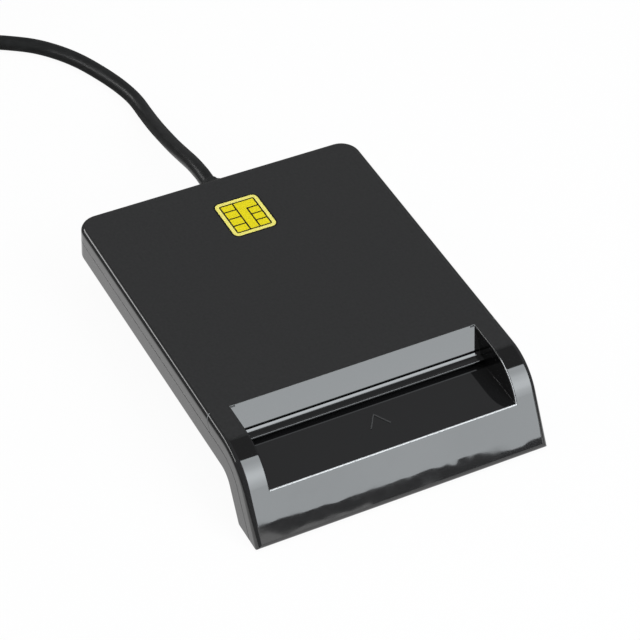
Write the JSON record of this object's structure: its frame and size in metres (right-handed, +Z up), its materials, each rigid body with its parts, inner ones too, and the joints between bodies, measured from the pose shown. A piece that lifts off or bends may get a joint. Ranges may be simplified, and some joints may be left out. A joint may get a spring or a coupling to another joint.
{
  "type": "smart card reader",
  "caption": "Flat black desktop smart card reader with a sloping foot, a thumb recess over the card slot, sprung card contacts inside and a corded USB plug.",
  "frame": {"origin": "middle of the housing's footprint on the surface that it stands on, cord not counted", "axes": "+X to the right seen from the front, +Y from the front foot to the rear wall where the cord leaves, +Z up; the card goes in along +Y"},
  "size_m": [0.1002, 0.244, 0.018],
  "materials": {
    "cover_black": "satin top, polished bend, bezel and floor",
    "cover_lower": "polished",
    "rubber_black": "matte",
    "screw_steel": "zinc plated",
    "board_green": "solder mask",
    "block_black": "moulded",
    "contact_gold": "gold plated",
    "switch_cream": "moulded",
    "lever_red": "moulded",
    "chip_black": "moulded",
    "can_silver": "plain",
    "passive_tan": "ceramic",
    "header_white": "moulded",
    "lead_red": "smooth",
    "lead_white": "smooth",
    "lead_green": "smooth",
    "lead_black": "smooth",
    "cord_black": "smooth satin jacket",
    "tie_black": "moulded",
    "shell_steel": "plated sheet",
    "tongue_white": "moulded"
  },
  "bodies": {
    "housing": {"top_cover": "cover_black", "bottom_cover": "cover_lower", "rubber_feet": "rubber_black", "housing_screws": "screw_steel", "main_board": "board_green", "board_screws": "screw_steel", "contact_block": "block_black", "contact_tails": "contact_gold", "switch_base": "switch_cream", "reader_chip": "chip_black", "crystal": "can_silver", "board_passives": "passive_tan", "wire_header": "header_white", "wire_plug": "header_white", "lead_red": "lead_red", "lead_white": "lead_white", "lead_green": "lead_green", "lead_black": "lead_black", "cord_stub": "cord_black", "strain_relief": "rubber_black", "cord_lead": "cord_black", "cord_coil": "cord_black", "cord_tie": "tie_black", "cord_tail": "cord_black", "usb_grip": "tie_black", "usb_shell": "shell_steel", "usb_tongue": "tongue_white", "usb_contacts": "contact_gold"},
    "lever": {"switch_lever": "lever_red"},
    "contact_1_arm": {"contact_1": "contact_gold"},
    "contact_2_arm": {"contact_2": "contact_gold"},
    "contact_3_arm": {"contact_3": "contact_gold"},
    "contact_4_arm": {"contact_4": "contact_gold"},
    "contact_5_arm": {"contact_5": "contact_gold"},
    "contact_6_arm": {"contact_6": "contact_gold"},
    "contact_7_arm": {"contact_7": "contact_gold"},
    "contact_8_arm": {"contact_8": "contact_gold"}
  },
  "joints": [
    {"name": "contact_1_lift", "type": "hinge", "parent": "housing", "child": "contact_1_arm", "pos_m": [0.00691, 0.021, 0.0124], "axis": [1, 0, 0], "range_deg": [0, 7], "stiffness_Nm_per_rad": 0.0004},
    {"name": "contact_2_lift", "type": "hinge", "parent": "housing", "child": "contact_2_arm", "pos_m": [0.00437, 0.021, 0.0124], "axis": [1, 0, 0], "range_deg": [0, 7], "stiffness_Nm_per_rad": 0.0004},
    {"name": "contact_3_lift", "type": "hinge", "parent": "housing", "child": "contact_3_arm", "pos_m": [0.00183, 0.021, 0.0124], "axis": [1, 0, 0], "range_deg": [0, 7], "stiffness_Nm_per_rad": 0.0004},
    {"name": "contact_4_lift", "type": "hinge", "parent": "housing", "child": "contact_4_arm", "pos_m": [-0.00071, 0.021, 0.0124], "axis": [1, 0, 0], "range_deg": [0, 7], "stiffness_Nm_per_rad": 0.0004},
    {"name": "contact_5_lift", "type": "hinge", "parent": "housing", "child": "contact_5_arm", "pos_m": [0.00691, 0.01338, 0.0124], "axis": [1, 0, 0], "range_deg": [0, 7], "stiffness_Nm_per_rad": 0.0004},
    {"name": "contact_6_lift", "type": "hinge", "parent": "housing", "child": "contact_6_arm", "pos_m": [0.00437, 0.01338, 0.0124], "axis": [1, 0, 0], "range_deg": [0, 7], "stiffness_Nm_per_rad": 0.0004},
    {"name": "contact_7_lift", "type": "hinge", "parent": "housing", "child": "contact_7_arm", "pos_m": [0.00183, 0.01338, 0.0124], "axis": [1, 0, 0], "range_deg": [0, 7], "stiffness_Nm_per_rad": 0.0004},
    {"name": "contact_8_lift", "type": "hinge", "parent": "housing", "child": "contact_8_arm", "pos_m": [-0.00071, 0.01338, 0.0124], "axis": [1, 0, 0], "range_deg": [0, 7], "stiffness_Nm_per_rad": 0.0004},
    {"name": "card_switch_push", "type": "hinge", "parent": "housing", "child": "lever", "pos_m": [0.023, 0.03604, 0.0124], "axis": [0, 0, -1], "range_deg": [0, 17], "stiffness_Nm_per_rad": 0.0006}
  ]
}
